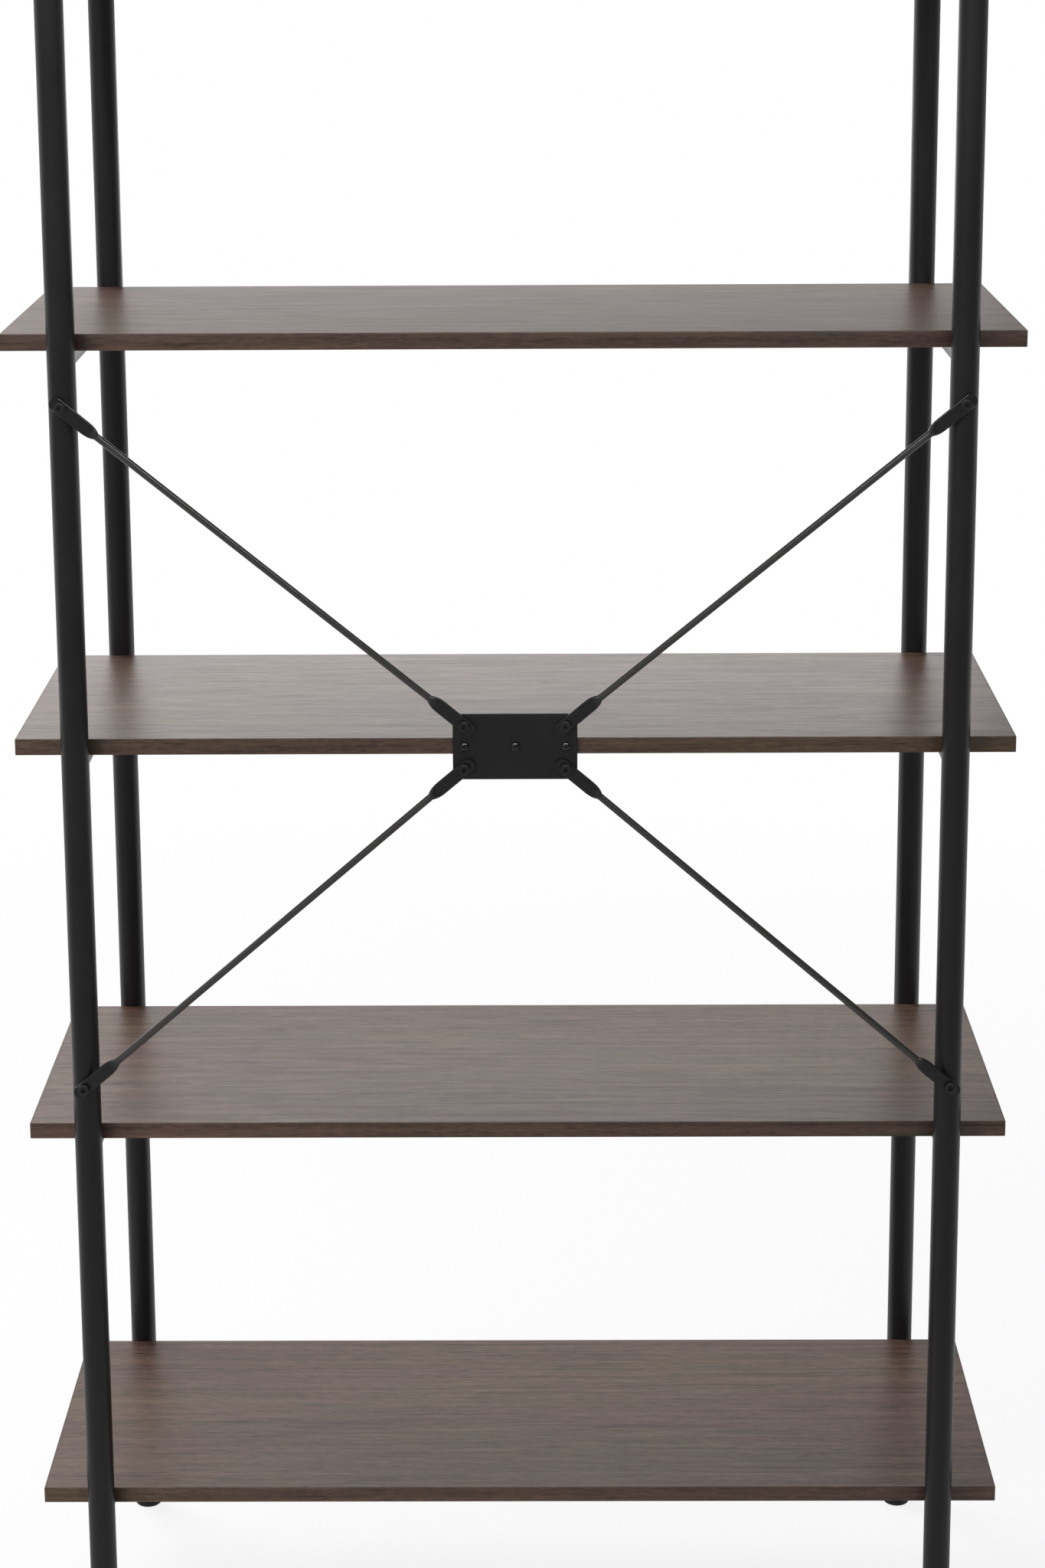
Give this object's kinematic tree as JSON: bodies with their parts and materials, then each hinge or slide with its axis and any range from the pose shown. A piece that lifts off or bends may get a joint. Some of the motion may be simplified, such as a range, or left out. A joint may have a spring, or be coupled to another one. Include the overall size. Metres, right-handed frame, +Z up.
{
  "type": "shelving unit",
  "caption": "Tall open shelving unit with wood-look boards on round black tube side frames, cross-braced by rods and a plate at the middle board.",
  "frame": {"origin": "on the floor, in the middle between the four posts", "axes": "+Z up along the posts; X along the boards; -Y towards the braced long side, the one pictured"},
  "size_m": [0.9, 0.3596, 1.8],
  "materials": {
    "frame": "satin",
    "board": "satin",
    "fastener": "semi-gloss",
    "plug": "matte"
  },
  "bodies": {
    "root": {"front_left_post": "frame", "front_right_post": "frame", "rear_left_post": "frame", "rear_right_post": "frame", "left_rail_1": "frame", "right_rail_1": "frame", "left_rail_2": "frame", "right_rail_2": "frame", "left_rail_3": "frame", "right_rail_3": "frame", "left_rail_4": "frame", "right_rail_4": "frame", "left_rail_5": "frame", "right_rail_5": "frame", "shelf_1": "board", "shelf_2": "board", "shelf_3": "board", "shelf_4": "board", "shelf_5": "board", "brace_rod_lower_left": "frame", "brace_rod_lower_right": "frame", "brace_rod_upper_left": "frame", "brace_rod_upper_right": "frame", "brace_plate": "frame", "post_bolt_lower_left": "fastener", "rivet_nut_lower_left": "fastener", "plate_bolt_lower_left": "fastener", "plate_nut_lower_left": "fastener", "post_bolt_lower_right": "fastener", "rivet_nut_lower_right": "fastener", "plate_bolt_lower_right": "fastener", "plate_nut_lower_right": "fastener", "post_bolt_upper_left": "fastener", "rivet_nut_upper_left": "fastener", "plate_bolt_upper_left": "fastener", "plate_nut_upper_left": "fastener", "post_bolt_upper_right": "fastener", "rivet_nut_upper_right": "fastener", "plate_bolt_upper_right": "fastener", "plate_nut_upper_right": "fastener", "plate_screw_left": "fastener", "plate_screw_middle": "fastener", "plate_screw_right": "fastener", "foot_front_left": "plug", "cap_front_left": "plug", "foot_front_right": "plug", "cap_front_right": "plug", "foot_rear_left": "plug", "cap_rear_left": "plug", "foot_rear_right": "plug", "cap_rear_right": "plug"}
  },
  "joints": []
}
